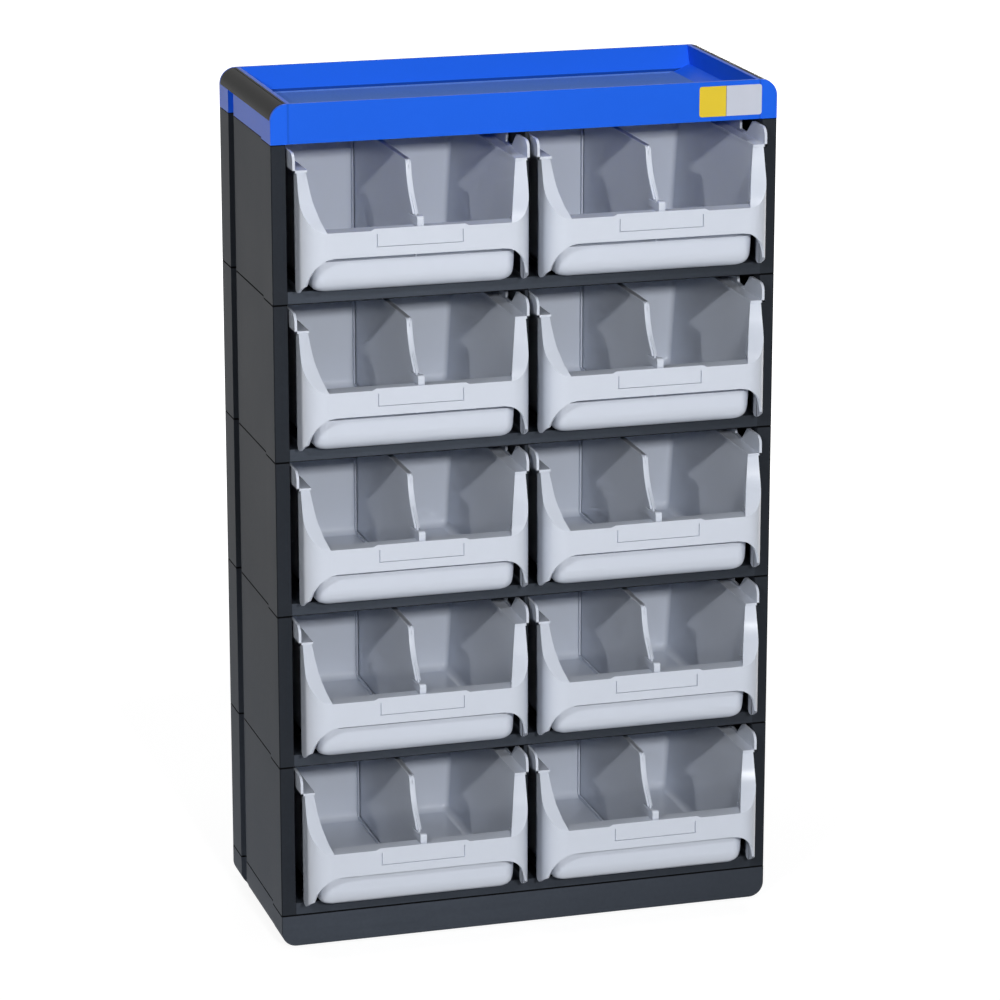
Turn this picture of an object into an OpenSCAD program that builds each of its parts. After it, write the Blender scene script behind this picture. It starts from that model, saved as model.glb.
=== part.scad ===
// Parts bin cabinet: five stacked tier frames on a plinth, a tray on top,
// and ten open-fronted bins that pull out forwards, each with a divider.
// Millimetres. X runs to the right, Y to the back, Z up.
// The origin is the bottom centre of the overall box, bin fronts included.

/* [Cabinet] */
// Width of the cabinet body
cabinet_width = 400; // [370:5:460]
// Depth of the cabinet body, without the bin fronts
cabinet_depth = 170; // [155:5:240]
// Height of one tier, from seam to seam
tier_height = 122.5; // [112:0.5:150]
// Height of the top tray's front and back walls
tray_height = 30.5; // [27:0.5:45]
// Height of the plinth under the lowest tier
plinth_height = 25.5; // [22:0.5:40]
// Free height of the rubber feet below the plinth
foot_height = 2; // [1:0.5:5]

/* [Frame] */
// Front width of the jambs at the left and right
jamb_width = 11.5; // [10.5:0.5:15]
// Depth of the hollow posts behind the jambs and at the back
post_depth = 15; // [13:1:20]
// Thickness of the side walls and post webs
side_wall = 2.4; // [2:0.1:3]
// Thickness of the back wall
back_wall = 2.2; // [1.6:0.1:3]
// Thickness of the partition between the two bays
partition_wall = 3; // [2:0.2:5]
// How far the partition stands back from the front
partition_setback = 2; // [1:0.5:6]
// Thickness of the shelf panel
shelf_wall = 2.6; // [2:0.1:4]
// Height of the shelf's front lip above the seam
lip_height = 10; // [9:0.5:14]
// Thickness of the shelf's front lip
lip_wall = 3; // [2:0.2:5]
// Height of the runners that the bins slide on
runner_height = 1.5; // [1:0.1:3]
// Height of the ribs that guide the bins sideways
guide_height = 6; // [3:0.5:10]
// Thickness of the guide ribs and stiffening ribs
rib_wall = 1.8; // [1.2:0.1:3]
// Depth of the flush post at the front of each side
side_front_strip = 30; // [20:1:45]
// Depth of the flush strip at the back of each side
side_back_strip = 30; // [20:1:40]
// How far the side panel is set in between the strips
panel_recess = 1.5; // [0.5:0.1:2]
// Width of the upright groove in front of the back strip
groove_width = 12; // [6:1:16]
// Depth of that groove
groove_depth = 4; // [2.5:0.25:5]
// Diameter of the stacking studs
stud_diameter = 5; // [4:0.2:6]
// Height of the stacking studs
stud_height = 4.5; // [3:0.5:6]
// Radial play of a stud in its socket
stud_clearance = 0.15; // [0.1:0.05:0.4]

/* [Tray] */
// Thickness of the tray's front and back plates
tray_plate = 3; // [2:0.25:5]
// Radius of the upper corners of those plates
tray_corner = 13; // [10:0.5:16]
// Height of the tray floor's top above the tray's underside
tray_floor = 10; // [9:0.5:14]
// Thickness of the tray floor
tray_floor_wall = 2.6; // [2:0.2:4]
// Height of the side ledges that carry the edge grips
grip_seat = 18; // [16:0.5:22]
// How far the floor's sloped margins reach in from the side walls
margin_width = 18; // [8:1:30]
// How far those margins rise
margin_rise = 6; // [2:0.5:7]
// How far the back wall's face leans in from rim to floor
back_lean = 8; // [3:0.5:16]
// Height of the upright step at the foot of the back wall
back_step = 2; // [1:0.25:4]
// Play around each edge grip
grip_clearance = 0.1; // [0.05:0.05:0.4]

/* [Label] */
// Width of the write-on label on the tray
label_width = 50.5; // [30:0.5:80]
// Height of the write-on label
label_height = 23.5; // [15:0.5:26]
// Thickness of the label plate
label_wall = 0.5; // [0.3:0.1:1]
// Distance of the label from the right side of the cabinet
label_inset = 12.5; // [12:0.5:60]

/* [Bins] */
// Wall thickness of the bins
bin_wall = 2; // [1.6:0.1:2.6]
// Sideways play between a bin's rim and its bay
rim_clearance = 1.5; // [0.6:0.1:3]
// Height of the free space over a bin's rim
bin_headroom = 4; // [3:0.5:12]
// Space between a bin's back and the cabinet's back wall
bin_back_clearance = 1.3; // [0.6:0.1:4]
// Running play between a bin and its runners
slide_clearance = 0.2; // [0.1:0.05:0.5]
// Sideways play between a bin and its guide ribs
guide_clearance = 0.8; // [0.4:0.1:1.5]
// How far the grip front stands ahead of the cabinet
front_reach = 37; // [32:0.5:50]
// Height of the grip front's ledge above the bin's underside
front_height = 49.5; // [40:0.5:60]
// Height of the grip front's skin below its ledge
front_skin = 19.5; // [14:0.5:26]
// Depth of the ledge from the skin to the bin's inside
ledge_depth = 15; // [13:0.5:18]
// Plan radius of the grip front's corners
front_corner = 17; // [14:1:22]
// How far the grip front's side flanges stop ahead of the cabinet
flange_gap = 7; // [5:0.5:9]
// Height of the flanges' lower edge at the front, under the skin's arch
flange_height = 14; // [8:0.5:20]
// Where the tops of the front columns stand ahead of the cabinet
column_lead = 15; // [13:0.5:18]
// How much narrower the bin is at its foot, on each side
bin_draft = 5; // [0:0.5:6]
// Radius of the roll under the bin's front
belly_radius = 14; // [10:1:22]
// Plan radius of the bin's front corners
bin_corner = 10; // [8:0.5:18]
// Radius of the bin's long bottom edges
bin_bottom_radius = 8; // [4:0.5:12]
// Height of the upright rim plates
rim_height = 13; // [9:0.5:16]
// How far the rim stands out past the bin's side wall
rim_overhang = 8.5; // [7.5:0.5:12]
// Where the notch in each rim plate begins behind the front
notch_start = 14; // [8:1:30]
// Length of that notch
notch_length = 20; // [8:1:30]
// Width of the low lip on the ledge above the label field
lip_width = 76; // [50:1:90]
// Height of that lip
lip_rise = 1.5; // [0.6:0.1:3]
// Width of the label field between the grooves in the front skin
field_width = 66.5; // [40:0.5:72]
// Height of the label field
field_height = 12; // [8:0.5:14]

/* [Dividers] */
// Thickness of the divider panel
divider_wall = 1.6; // [1.2:0.1:2.4]
// How far the dividers sit to the right of the bins' centres
divider_offset = 1.2; // [0:0.1:6]
// Width of the bead along the divider's free edges
divider_bead = 4.5; // [3:0.25:6]
// Play between the divider and the ribs that hold it
divider_clearance = 0.3; // [0.2:0.05:0.5]
// Depth of the ribs that hold the divider
holder_depth = 2; // [1.5:0.25:3]

/* [Plinth and feet] */
// Radius of the plinth's lower front corners
plinth_corner = 12; // [6:0.5:18]
// Wall thickness of the plinth
plinth_wall = 3; // [2:0.25:4]
// How far the chamfer along the plinth's sides is cut in
plinth_chamfer = 3; // [1:0.5:5]
// Length of each foot pad
foot_length = 26; // [16:1:40]
// Width of each foot pad
foot_width = 14; // [10:1:20]
// Distance of the foot pads' centres from the sides
foot_inset_x = 38; // [34:1:80]
// Distance of the foot pads' centres from the front and back
foot_inset_y = 20; // [17:1:40]
// How far the stiffening ribs reach down under the plinth's top
plinth_rib = 7; // [3:0.5:12]

/* [Hidden] */

$fn = 48;
eps = 0.01;
// How far a cutting shape reaches past the surface that it cuts
over = 1;
tiers = 5;
frame_colour = "#3d4246";
tray_colour = "#1f5ae0";
grip_colour = "#262626";
bin_colour = "#c9cdd8";
divider_colour = "#b9bec9";
label_colour = "#e8e6dc";
foot_colour = "#1c1c1c";

// Where the cabinet's front plane lies when the overall box is centred
front_y = (front_reach - cabinet_depth) / 2;
half_width = cabinet_width / 2;
plinth_top = foot_height + plinth_height;
tray_base = plinth_top + tiers * tier_height;

// Bays
bay_half = (half_width - jamb_width - partition_wall / 2) / 2;
bay_centre = partition_wall / 2 + bay_half;
shelf_top = lip_height;
run_top = shelf_top + runner_height;
runner_spread = 0.7;
guide_lead = 6;

// Side profile: where the recessed panel and the groove lie
groove_end = cabinet_depth - side_back_strip;
groove_start = groove_end - groove_width;
stud_root = 1;
socket_spare = 0.5;
boss_height = stud_height + 3;
foot_seat_depth = 2;
tray_inner_x = half_width - tray_corner - tray_plate;
front_step = 0.4;
front_lean = 2;
end_band = jamb_width + 1;
label_corner = 2;
grip_line = 1.6;
grip_line_width = 0.6;
grip_line_depth = 0.5;
stud_radius = stud_diameter / 2;
post_middle_x = half_width - (jamb_width + side_wall) / 2;
post_middle_y = (lip_wall + post_depth) / 2;

// Bins, in their own frame: x from the bin's centre, y from the cabinet's
// front plane, z from the underside of the bin
rim_half = bay_half - rim_clearance;
front_inset = 3;
front_half = rim_half - front_inset;
tub_half = rim_half - rim_overhang;
tub_foot_half = tub_half - bin_draft;
bin_base = run_top + slide_clearance;
bin_height = tier_height - bin_base - bin_headroom;
tub_top = bin_height - rim_height;
tub_back = cabinet_depth - back_wall - bin_back_clearance;
tub_front = ledge_depth - front_reach - bin_wall;
skin_low = front_height - front_skin;
arch_half = front_half - bin_wall;
arch_corner = front_corner + 4;
flange_low = 0.6;
tip_rise = 2.5;
flange_start = 7;
mouth_half = tub_half - bin_wall * 1.5;
mouth_corner = 22;
column_back = column_lead - 3;
back_corner = 6;
rim_nose = 7;
rim_slant = 1;
notch_step = 2;
groove_line = 0.5;
groove_sink = 0.6;
lip_skin = 1.6;
web_low = 10;
web_start = 4;

// Divider
divider_top = tub_top + 0.8;
divider_reach = tub_back - bin_wall - divider_clearance;
holder_gap = divider_wall / 2 + divider_clearance;
holder_wall = rib_wall * 0.7;
holder_drop = 4;
foot_block = 6.5;
foot_tip = lip_skin + 1;
ledge_rest = front_height + divider_clearance;
foot_top = ledge_rest + 8;
foot_half = divider_bead / 2 + 0.4;
bead_depth = 3;
bead_lap = 1;
foot_strip = 2;
strip_end = bead_depth - column_back - 0.5;

// ---------------------------------------------------------------- helpers

// Rectangle from [x0, y0] to [x1, y1]
module area(x0, y0, x1, y1) {
    translate([x0, y0]) square([x1 - x0, y1 - y0]);
}

// Box from one corner to the opposite one
module block(low, high) {
    translate(low) cube(high - low);
}

// Rectangle whose four corners have their own radii, 0 for a sharp one
module plate_outline(x0, y0, x1, y1, ll = 0, lr = 0, ur = 0, ul = 0) {
    corners = [[x0, y0, ll, 1, 1], [x1, y0, lr, -1, 1], [x1, y1, ur, -1, -1], [x0, y1, ul, 1, -1]];
    difference() {
        area(x0, y0, x1, y1);
        for (c = corners)
            if (c[2] > 0) corner_waste(c);
    }
}

// What a radius takes off one corner: [x, y, radius, inward x, inward y]
module corner_waste(c) {
    difference() {
        translate([c[0] - (c[3] > 0 ? 1 : c[2]), c[1] - (c[4] > 0 ? 1 : c[2])])
            square(c[2] + 1);
        translate([c[0] + c[3] * c[2], c[1] + c[4] * c[2]]) circle(c[2]);
    }
}

// Extrude an outline drawn in (x, y) upwards
module rise(low, high) {
    translate([0, 0, low]) linear_extrude(high - low) children();
}

// Extrude an outline drawn in (y, z) along x
module across(low, high) {
    translate([low, 0, 0]) rotate([90, 0, 90]) linear_extrude(high - low) children();
}

// Extrude an outline drawn in (x, z) along y
module along(low, high) {
    translate([0, high, 0]) rotate([90, 0, 0]) linear_extrude(high - low) children();
}

// Place a piece drawn from the front plane up from the given height
module placed(z) {
    translate([0, front_y, z]) children();
}

module both_sides() {
    children();
    mirror([1, 0, 0]) children();
}

// ------------------------------------------------------------ tier frames

// Plan of the right side wall: flush strips, recessed panel and groove
module side_plan() {
    outer = half_width;
    inner = outer - side_wall;
    polygon([
        [outer, 0],
        [outer, side_front_strip],
        [outer - panel_recess, side_front_strip],
        [outer - panel_recess, groove_start],
        [outer - groove_depth, groove_start],
        [outer - groove_depth, groove_end],
        [outer, groove_end],
        [outer, cabinet_depth],
        [inner, cabinet_depth],
        [inner, groove_end + side_wall],
        [inner - groove_depth, groove_end + side_wall],
        [inner - groove_depth, groove_start - side_wall],
        [inner - panel_recess, groove_start - side_wall],
        [inner - panel_recess, side_front_strip - side_wall],
        [inner, side_front_strip - side_wall],
        [inner, 0]
    ]);
}

// Plan of the hollow post behind the right jamb, and the one at the back
module post_plan() {
    area(half_width - jamb_width, 0, half_width, lip_wall);
    area(half_width - jamb_width, 0, half_width - jamb_width + side_wall, post_depth);
    area(half_width - jamb_width, cabinet_depth - post_depth,
         half_width - jamb_width + side_wall, cabinet_depth);
}

// Solid fill of both right posts, where the studs and sockets sit
module post_fill(low, high) {
    inner = half_width - jamb_width;
    block([inner, 0, low], [half_width - eps, post_depth, high]);
    block([inner, cabinet_depth - post_depth, low], [half_width - eps, cabinet_depth, high]);
}

// The stud or socket positions of the right side
module at_posts() {
    for (y = [post_middle_y, cabinet_depth - post_middle_y])
        translate([post_middle_x, y, 0]) children();
}

module studs(z) {
    both_sides() at_posts() translate([0, 0, z - stud_root])
        cylinder(h = stud_height + stud_root, r = stud_radius);
}

module sockets() {
    both_sides() at_posts() translate([0, 0, -over])
        cylinder(h = stud_height + over + socket_spare, r = stud_radius + stud_clearance);
}

module shelf() {
    // ends inside both the flush and the recessed parts of the side walls
    inner = half_width - (panel_recess + side_wall) / 2;
    block([-inner, 0, shelf_top - shelf_wall], [inner, cabinet_depth, shelf_top]);
    block([-inner, 0, 0], [inner, lip_wall, shelf_top]);
    // stiffening ribs under the panel, clear of the bins below
    for (x = [-bay_centre - bay_half / 2, -bay_half / 2, bay_half / 2, bay_centre + bay_half / 2])
        block([x - rib_wall / 2, lip_wall - eps, shelf_wall],
              [x + rib_wall / 2, cabinet_depth - back_wall, shelf_top - eps]);
}

// Runners and guide ribs of the right bay
module bay_rails() {
    guide = tub_foot_half + guide_clearance;
    stop = cabinet_depth - back_wall;
    for (side = [-1, 1]) {
        run = bay_centre + side * tub_half * runner_spread;
        block([run - rib_wall, lip_wall, shelf_top - eps], [run + rib_wall, stop, run_top]);
        edge = bay_centre + side * (guide + rib_wall / 2);
        block([edge - rib_wall / 2, lip_wall + guide_lead, shelf_top - eps],
              [edge + rib_wall / 2, stop, shelf_top + guide_height]);
    }
}

module tier_frame(tier) {
    base = plinth_top + (tiers - tier) * tier_height;
    color(frame_colour) placed(base) difference() {
        union() {
            both_sides() {
                rise(0, tier_height) side_plan();
                rise(0, tier_height) post_plan();
                post_fill(0, boss_height);
                post_fill(tier_height - boss_height, tier_height);
                bay_rails();
            }
            block([-half_width + eps, cabinet_depth - back_wall, 0],
                  [half_width - eps, cabinet_depth, tier_height]);
            block([-partition_wall / 2, partition_setback, shelf_top - eps],
                  [partition_wall / 2, cabinet_depth - back_wall + eps, tier_height]);
            shelf();
            studs(tier_height);
        }
        sockets();
        both_sides() groove_cut(0, tier_height);
    }
}

// The side's groove, cut again where the post fill would close it
module groove_cut(low, high) {
    block([half_width - groove_depth, groove_start, low - over],
          [half_width + over, groove_end, high + over]);
}

// ------------------------------------------------------------ plinth, feet

module plinth_solid() {
    low = foot_height;
    intersection() {
        along(0, cabinet_depth)
            plate_outline(-half_width, low, half_width, plinth_top, ll = plinth_corner, lr = plinth_corner);
        union() {
            both_sides() rise(low, plinth_top) side_fill_plan();
            block([-half_width / 2, 0, low], [half_width / 2, cabinet_depth, plinth_top]);
        }
    }
}

// Plan of the right half out to the side's outer profile
module side_fill_plan() {
    polygon([
        [0, 0],
        [half_width, 0],
        [half_width, side_front_strip],
        [half_width - panel_recess, side_front_strip],
        [half_width - panel_recess, groove_start],
        [half_width - groove_depth, groove_start],
        [half_width - groove_depth, groove_end],
        [half_width, groove_end],
        [half_width, cabinet_depth],
        [0, cabinet_depth]
    ]);
}

module base_plinth() {
    low = foot_height;
    ceiling = plinth_top - plinth_wall;
    inner_x = half_width - plinth_wall - groove_depth;
    inner_y = cabinet_depth - plinth_wall;
    post_x = half_width - jamb_width - plinth_wall;
    color(frame_colour) translate([0, front_y, 0]) difference() {
        union() {
            difference() {
                plinth_solid();
                block([-post_x, plinth_wall, low - over], [post_x, inner_y, ceiling]);
                both_sides() block([post_x - eps, post_depth, low - over],
                                   [inner_x, cabinet_depth - post_depth, ceiling]);
            }
            translate([0, 0, plinth_top]) studs(0);
            foot_seats();
            plinth_ribs();
        }
        both_sides() side_chamfer();
        for (x = [-1, 1], y = [-1, 1]) at_foot(x, y) foot_pocket();
    }
}

// Cross ribs that stiffen the plinth's top panel
module plinth_ribs() {
    for (x = [-half_width / 2, 0, half_width / 2])
        block([x - rib_wall / 2, plinth_wall - eps, plinth_top - plinth_wall - plinth_rib],
              [x + rib_wall / 2, cabinet_depth - plinth_wall + eps, plinth_top - eps]);
}

// The slanted cut along the plinth's lower side edge, behind the front strip
module side_chamfer() {
    low = foot_height;
    rise_to = plinth_chamfer * 3;
    translate([half_width, 0, low]) along(side_front_strip, groove_start)
        polygon([
            [-plinth_chamfer - panel_recess, -over], [over, -over],
            [over, rise_to], [-panel_recess, rise_to]
        ]);
}

// Blocks inside the plinth that hold the foot pads
module foot_seats() {
    for (x = [-1, 1], y = [-1, 1]) at_foot(x, y)
        translate([0, 0, foot_height])
            rise(0, plinth_height - eps) pad_outline(plinth_wall);
}

module foot_pocket() {
    translate([0, 0, foot_height]) rise(-over, foot_seat_depth) pad_outline(stud_clearance);
}

// Stadium-shaped outline of a foot pad, grown by an allowance
module pad_outline(grow) {
    r = foot_width / 2 + grow;
    straight = foot_length - foot_width;
    translate([-straight / 2, -r]) square([straight, 2 * r]);
    for (s = [-1, 1]) translate([s * straight / 2, 0]) circle(r);
}

// The foot pad positions: side x and end y are -1 or 1
module at_foot(x, y) {
    translate([x * (half_width - foot_inset_x),
               cabinet_depth / 2 + y * (cabinet_depth / 2 - foot_inset_y), 0]) children();
}

module foot(x, y) {
    color(foot_colour) translate([0, front_y, 0]) at_foot(x, y) {
        rise(0, foot_height + foot_seat_depth) pad_outline(0);
    }
}

// -------------------------------------------------------------------- tray

// Front outline of the tray: a bar with rounded upper corners
module tray_outline(height) {
    plate_outline(-half_width, 0, half_width, height, ur = tray_corner, ul = tray_corner);
}

// The dish of the tray, above its floor and between its walls
module tray_dish() {
    top = tray_height + over;
    foot_x = tray_inner_x - margin_width;
    intersection() {
        along(0, cabinet_depth) polygon([
            [-foot_x, tray_floor], [foot_x, tray_floor],
            [tray_inner_x, tray_floor + margin_rise], [tray_inner_x, top],
            [-tray_inner_x, top], [-tray_inner_x, tray_floor + margin_rise]
        ]);
        across(-half_width, half_width) polygon([
            [tray_plate + front_lean, tray_floor], [tray_plate, top],
            [cabinet_depth - tray_plate, top],
            [cabinet_depth - tray_plate, tray_height],
            [cabinet_depth - tray_plate - back_lean, tray_floor + back_step],
            [cabinet_depth - tray_plate - back_lean, tray_floor]
        ]);
    }
}

// The hollow under the tray
module tray_under() {
    x = half_width - jamb_width - side_wall;
    ceiling = tray_floor - tray_floor_wall;
    edge = half_width - side_wall - groove_depth;
    y_in = tray_plate;
    difference() {
        block([-x, y_in, -over], [x, cabinet_depth - y_in, ceiling]);
        for (rib = [-x / 2, 0, x / 2])
            block([rib - rib_wall / 2, y_in - over, 0], [rib + rib_wall / 2, cabinet_depth, ceiling + over]);
    }
    both_sides() block([x - eps, post_depth, -over],
                       [edge, cabinet_depth - post_depth, ceiling]);
    both_sides() block([half_width - jamb_width, post_depth, -over],
                       [edge, cabinet_depth - post_depth, grip_seat - side_wall]);
}

module top_tray() {
    color(tray_colour) placed(tray_base) difference() {
        union() {
            along(0, tray_plate) tray_outline(tray_height);
            along(cabinet_depth - tray_plate, cabinet_depth) tray_outline(tray_height);
            intersection() {
                both_sides() rise(0, tray_height) side_fill_plan();
                union() {
                    block([-half_width, 0, 0], [half_width, cabinet_depth, grip_seat]);
                    block([-half_width + tray_corner, 0, 0],
                          [half_width - tray_corner, cabinet_depth, tray_height]);
                }
            }
        }
        tray_dish();
        tray_under();
        sockets();
        // the middle of the front plate is set back a little
        block([end_band - half_width, -over, -over],
              [half_width - end_band, front_step, tray_height + over]);
    }
}

// Quarter-round bar along the tray's upper side edge
module edge_grip(side) {
    low = grip_seat + grip_clearance;
    inner = half_width - tray_corner + grip_clearance;
    color(grip_colour) placed(tray_base) mirror([side < 0 ? 1 : 0, 0, 0])
        difference() {
            along(tray_plate + grip_clearance, cabinet_depth - tray_plate - grip_clearance)
                plate_outline(inner, low, half_width, tray_height, ur = tray_height - low - eps);
            // the shallow line beside the rounded face
            block([inner + grip_line, 0, tray_height - grip_line_depth],
                  [inner + grip_line + grip_line_width, cabinet_depth, tray_height + over]);
        }
}

module tray_label() {
    right = half_width - label_inset;
    low = (tray_height - label_height) / 2;
    color(label_colour) placed(tray_base)
        along(front_step - label_wall, front_step)
            plate_outline(right - label_width, low, right, low + label_height,
                          label_corner, label_corner, label_corner, label_corner);
}

// -------------------------------------------------------------------- bins

// Side profile (y, z) of the tub, shrunk by a wall thickness
module tub_profile(t, top) {
    plate_outline(tub_front + t, t, tub_back - t, top, ll = belly_radius - t, lr = back_corner - t);
}

// Plan (x, y) of the tub, shrunk by a wall thickness
module tub_plan(t) {
    r = bin_corner - t;
    b = back_corner - t;
    plate_outline(t - tub_half, tub_front + t, tub_half - t, tub_back - t, r, r, b, b);
}

// Front view (x, z) of the tub, shrunk by a wall thickness: upright up to
// the end of the bottom radius, and a little wider towards the top
module tub_front_view(t) {
    foot = tub_foot_half - t;
    head = tub_half - t;
    difference() {
        polygon([
            [-foot, t], [foot, t], [foot, bin_bottom_radius],
            [head, tub_top + over], [-head, tub_top + over], [-foot, bin_bottom_radius]
        ]);
        for (side = [-1, 1])
            corner_waste([side * foot, t, bin_bottom_radius - t, -side, 1]);
    }
}

// Tub shape shrunk by t and cut off at the given height
module tub_form(t, top) {
    intersection() {
        across(-tub_half, tub_half) tub_profile(t, top);
        rise(0, top) tub_plan(t);
        along(tub_front, tub_back) tub_front_view(t);
    }
}

// Front view (x, z) of the bin's mouth above the ledge, grown by t
module mouth_outline(t) {
    r = mouth_corner + t;
    plate_outline(-mouth_half - t, front_height - t, mouth_half + t, tub_top + over, r, r);
}

// What the mouth takes off the tub's front wall
module mouth_waste() {
    across(-tub_half - over, tub_half + over) polygon([
        [-front_reach, front_height],
        [-column_lead, tub_top],
        [-column_lead, tub_top + over],
        [-front_reach, tub_top + over]
    ]);
    along(tub_front - over, over) mouth_outline(0);
}

// The curved front skin with its side flanges
module front_skin_shell() {
    r = front_corner;
    t = bin_wall;
    intersection() {
        rise(0, tub_top) difference() {
            plate_outline(-front_half, -front_reach, front_half, -flange_gap, r, r);
            plate_outline(t - front_half, t - front_reach, front_half - t, 0, r - t, r - t);
        }
        across(-front_half, front_half) polygon([
            [-front_reach - over, flange_height], [-front_reach + flange_start, flange_height],
            [-flange_gap - tip_rise, flange_low], [-flange_gap, flange_low + tip_rise],
            [-flange_gap, tub_top], [-column_lead, tub_top],
            [-front_reach, front_height], [-front_reach - over, front_height]
        ]);
        along(-front_reach - over, 0) difference() {
            area(-front_half, 0, front_half, tub_top);
            plate_outline(-arch_half, -over, arch_half, skin_low, ur = arch_corner, ul = arch_corner);
            mouth_outline(0);
        }
    }
}

// Everything inside the front skin's plan, ahead of the mouth
module front_core(back) {
    r = front_corner - bin_wall / 2;
    x = front_half - bin_wall / 2;
    rise(front_height - bin_wall, tub_top) plate_outline(-x, bin_wall / 2 - front_reach, x, back, r, r);
}

// The slanted faces of the columns on both sides of the mouth
module column_faces() {
    slant = bin_wall * 1.2;
    difference() {
        intersection() {
            front_core(0);
            across(-front_half, front_half) polygon([
                [-front_reach, front_height],
                [-column_lead, tub_top],
                [-column_lead + slant, tub_top],
                [-front_reach + slant, front_height]
            ]);
        }
        along(-front_reach - over, over) mouth_outline(0);
    }
}

// The ledge and the walls that run back from the columns to the tub
module mouth_return() {
    slant_foot = front_height - bin_wall;
    intersection() {
        front_core(0);
        along(-front_reach, 0) difference() {
            mouth_outline(bin_wall);
            mouth_outline(0);
        }
        across(-front_half, front_half) polygon([
            [-front_reach, slant_foot],
            [-front_reach, front_height],
            [-column_lead, tub_top],
            [tub_front + bin_corner, tub_top],
            [tub_front + bin_wall / 2, front_height],
            [tub_front + bin_wall / 2, slant_foot]
        ]);
    }
}

// Low lip on the ledge, above the label field
module label_lip() {
    block([-lip_width / 2, -front_reach, front_height - over],
          [lip_width / 2, lip_skin - front_reach, front_height + lip_rise]);
}

// Thin grooves round the label field's sides and foot
module field_grooves() {
    side = field_width / 2;
    foot = front_height - field_height;
    deep = groove_sink - front_reach;
    for (x = [-side, side])
        block([x - groove_line / 2, -front_reach - over, foot],
              [x + groove_line / 2, deep, front_height + lip_rise + over]);
    block([-side, -front_reach - over, foot - groove_line], [side, deep, foot]);
}

// Small web that ties the right flange of the front to the tub
module flange_web() {
    block([tub_foot_half - bin_wall / 2, -flange_gap - web_start - rib_wall, web_low],
          [front_half - bin_wall / 2, -flange_gap - web_start, front_height]);
}

// Outward ledge and upright plate along the right side
module rim() {
    outer = rim_half;
    low = tub_top - bin_wall;
    difference() {
        union() {
            block([mouth_half, -column_lead, low], [outer, tub_back, tub_top]);
            across(outer - bin_wall, outer) rim_side();
        }
        block([tub_half, notch_start, tub_top + notch_step],
              [outer + over, notch_start + notch_length, bin_height + over]);
    }
}

// Side view (y, z) of the upright rim plate with its slanted nose
module rim_side() {
    low = tub_top - bin_wall;
    polygon([
        [-column_lead, low],
        [tub_back, low],
        [tub_back, bin_height - rim_nose / 2],
        [tub_back - rim_nose / 2, bin_height],
        [rim_nose, bin_height],
        [0, bin_height - rim_nose / 2],
        [-column_lead + rim_slant, tub_top + rim_nose],
        [-column_lead, tub_top + rim_nose / 2]
    ]);
}

// Ribs on the floor and the back wall that hold the divider
module divider_holders() {
    for (s = [-1, 1]) {
        x0 = divider_offset + (s > 0 ? holder_gap : -holder_gap - holder_wall);
        x1 = x0 + holder_wall;
        intersection() {
            union() {
                block([x0, tub_front, 0], [x1, tub_back, bin_wall + holder_depth]);
                block([x0, tub_back - bin_wall - holder_depth, 0], [x1, tub_back, tub_top - holder_drop]);
            }
            tub_form(bin_wall / 2, tub_top);
        }
    }
}

module bin_shell() {
    difference() {
        tub_form(0, tub_top);
        tub_form_inside();
        mouth_waste();
    }
    divider_holders();
    difference() {
        union() {
            front_skin_shell();
            label_lip();
        }
        field_grooves();
    }
    column_faces();
    mouth_return();
    both_sides() {
        rim();
        flange_web();
    }
}

// The tub's inner hollow, open at the top
module tub_form_inside() {
    tub_form(bin_wall, tub_top + over);
}

module at_bin(tier, side) {
    z = plinth_top + (tiers - tier) * tier_height + bin_base;
    translate([side * bay_centre, front_y, z]) children();
}

module bin(tier, side) {
    color(bin_colour) at_bin(tier, side) bin_shell();
}

// ---------------------------------------------------------------- dividers

// Side view (y, z) of the divider panel
module divider_side() {
    floor_z = bin_wall + divider_clearance;
    front_in = tub_front + bin_wall + divider_clearance;
    difference() {
        plate_outline(front_in, floor_z, divider_reach, divider_top,
                      ll = belly_radius - bin_wall, lr = back_corner - bin_wall);
        // slanted front edge above the foot
        polygon([
            [front_in - over, foot_top],
            [-column_back, foot_top],
            [0, divider_top],
            [0, divider_top + over],
            [front_in - over, divider_top + over]
        ]);
    }
}

// Side view (y, z) of the bead along the slanted front edge and the top
module divider_bead_side() {
    stop = divider_reach - holder_depth - bead_lap;
    polygon([
        [-column_back, foot_top - bead_lap],
        [-column_back, foot_top],
        [0, divider_top],
        [stop, divider_top],
        [stop, divider_top - bead_depth / 2],
        [bead_depth / 2, divider_top - bead_depth / 2],
        [bead_depth - column_back, foot_top - bead_lap]
    ]);
}

// Side view (y, z) of the foot that rests on the bin's ledge, with the
// strip that joins it to the panel
module divider_foot_side() {
    tip = foot_tip - front_reach;
    polygon([
        [tip, ledge_rest],
        [tip, foot_top],
        [tip + foot_block, foot_top],
        [tip + foot_block, foot_top - foot_strip],
        [strip_end, foot_top - foot_strip],
        [strip_end, ledge_rest]
    ]);
}

module divider(tier, side) {
    color(divider_colour) at_bin(tier, side) translate([divider_offset, 0, 0]) {
        across(-divider_wall / 2, divider_wall / 2) divider_side();
        across(-divider_bead / 2, divider_bead / 2) divider_bead_side();
        across(-foot_half, foot_half) divider_foot_side();
    }
}

// ------------------------------------------------------------------- nodes

for (tier = [1:tiers])
    tier_frame(tier);
base_plinth();
top_tray();
edge_grip(-1);  // edge_grip_left
edge_grip(1);  // edge_grip_right
tray_label();
foot(-1, -1);  // foot_front_left
foot(1, -1);  // foot_front_right
foot(-1, 1);  // foot_back_left
foot(1, 1);  // foot_back_right
for (tier = [1:tiers]) {
    bin(tier, -1);
    bin(tier, 1);
    divider(tier, -1);
    divider(tier, 1);
}
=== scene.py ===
import math

import bmesh
import bpy
from bpy.props import FloatProperty, FloatVectorProperty, PointerProperty
from mathutils import Matrix, Vector


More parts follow.
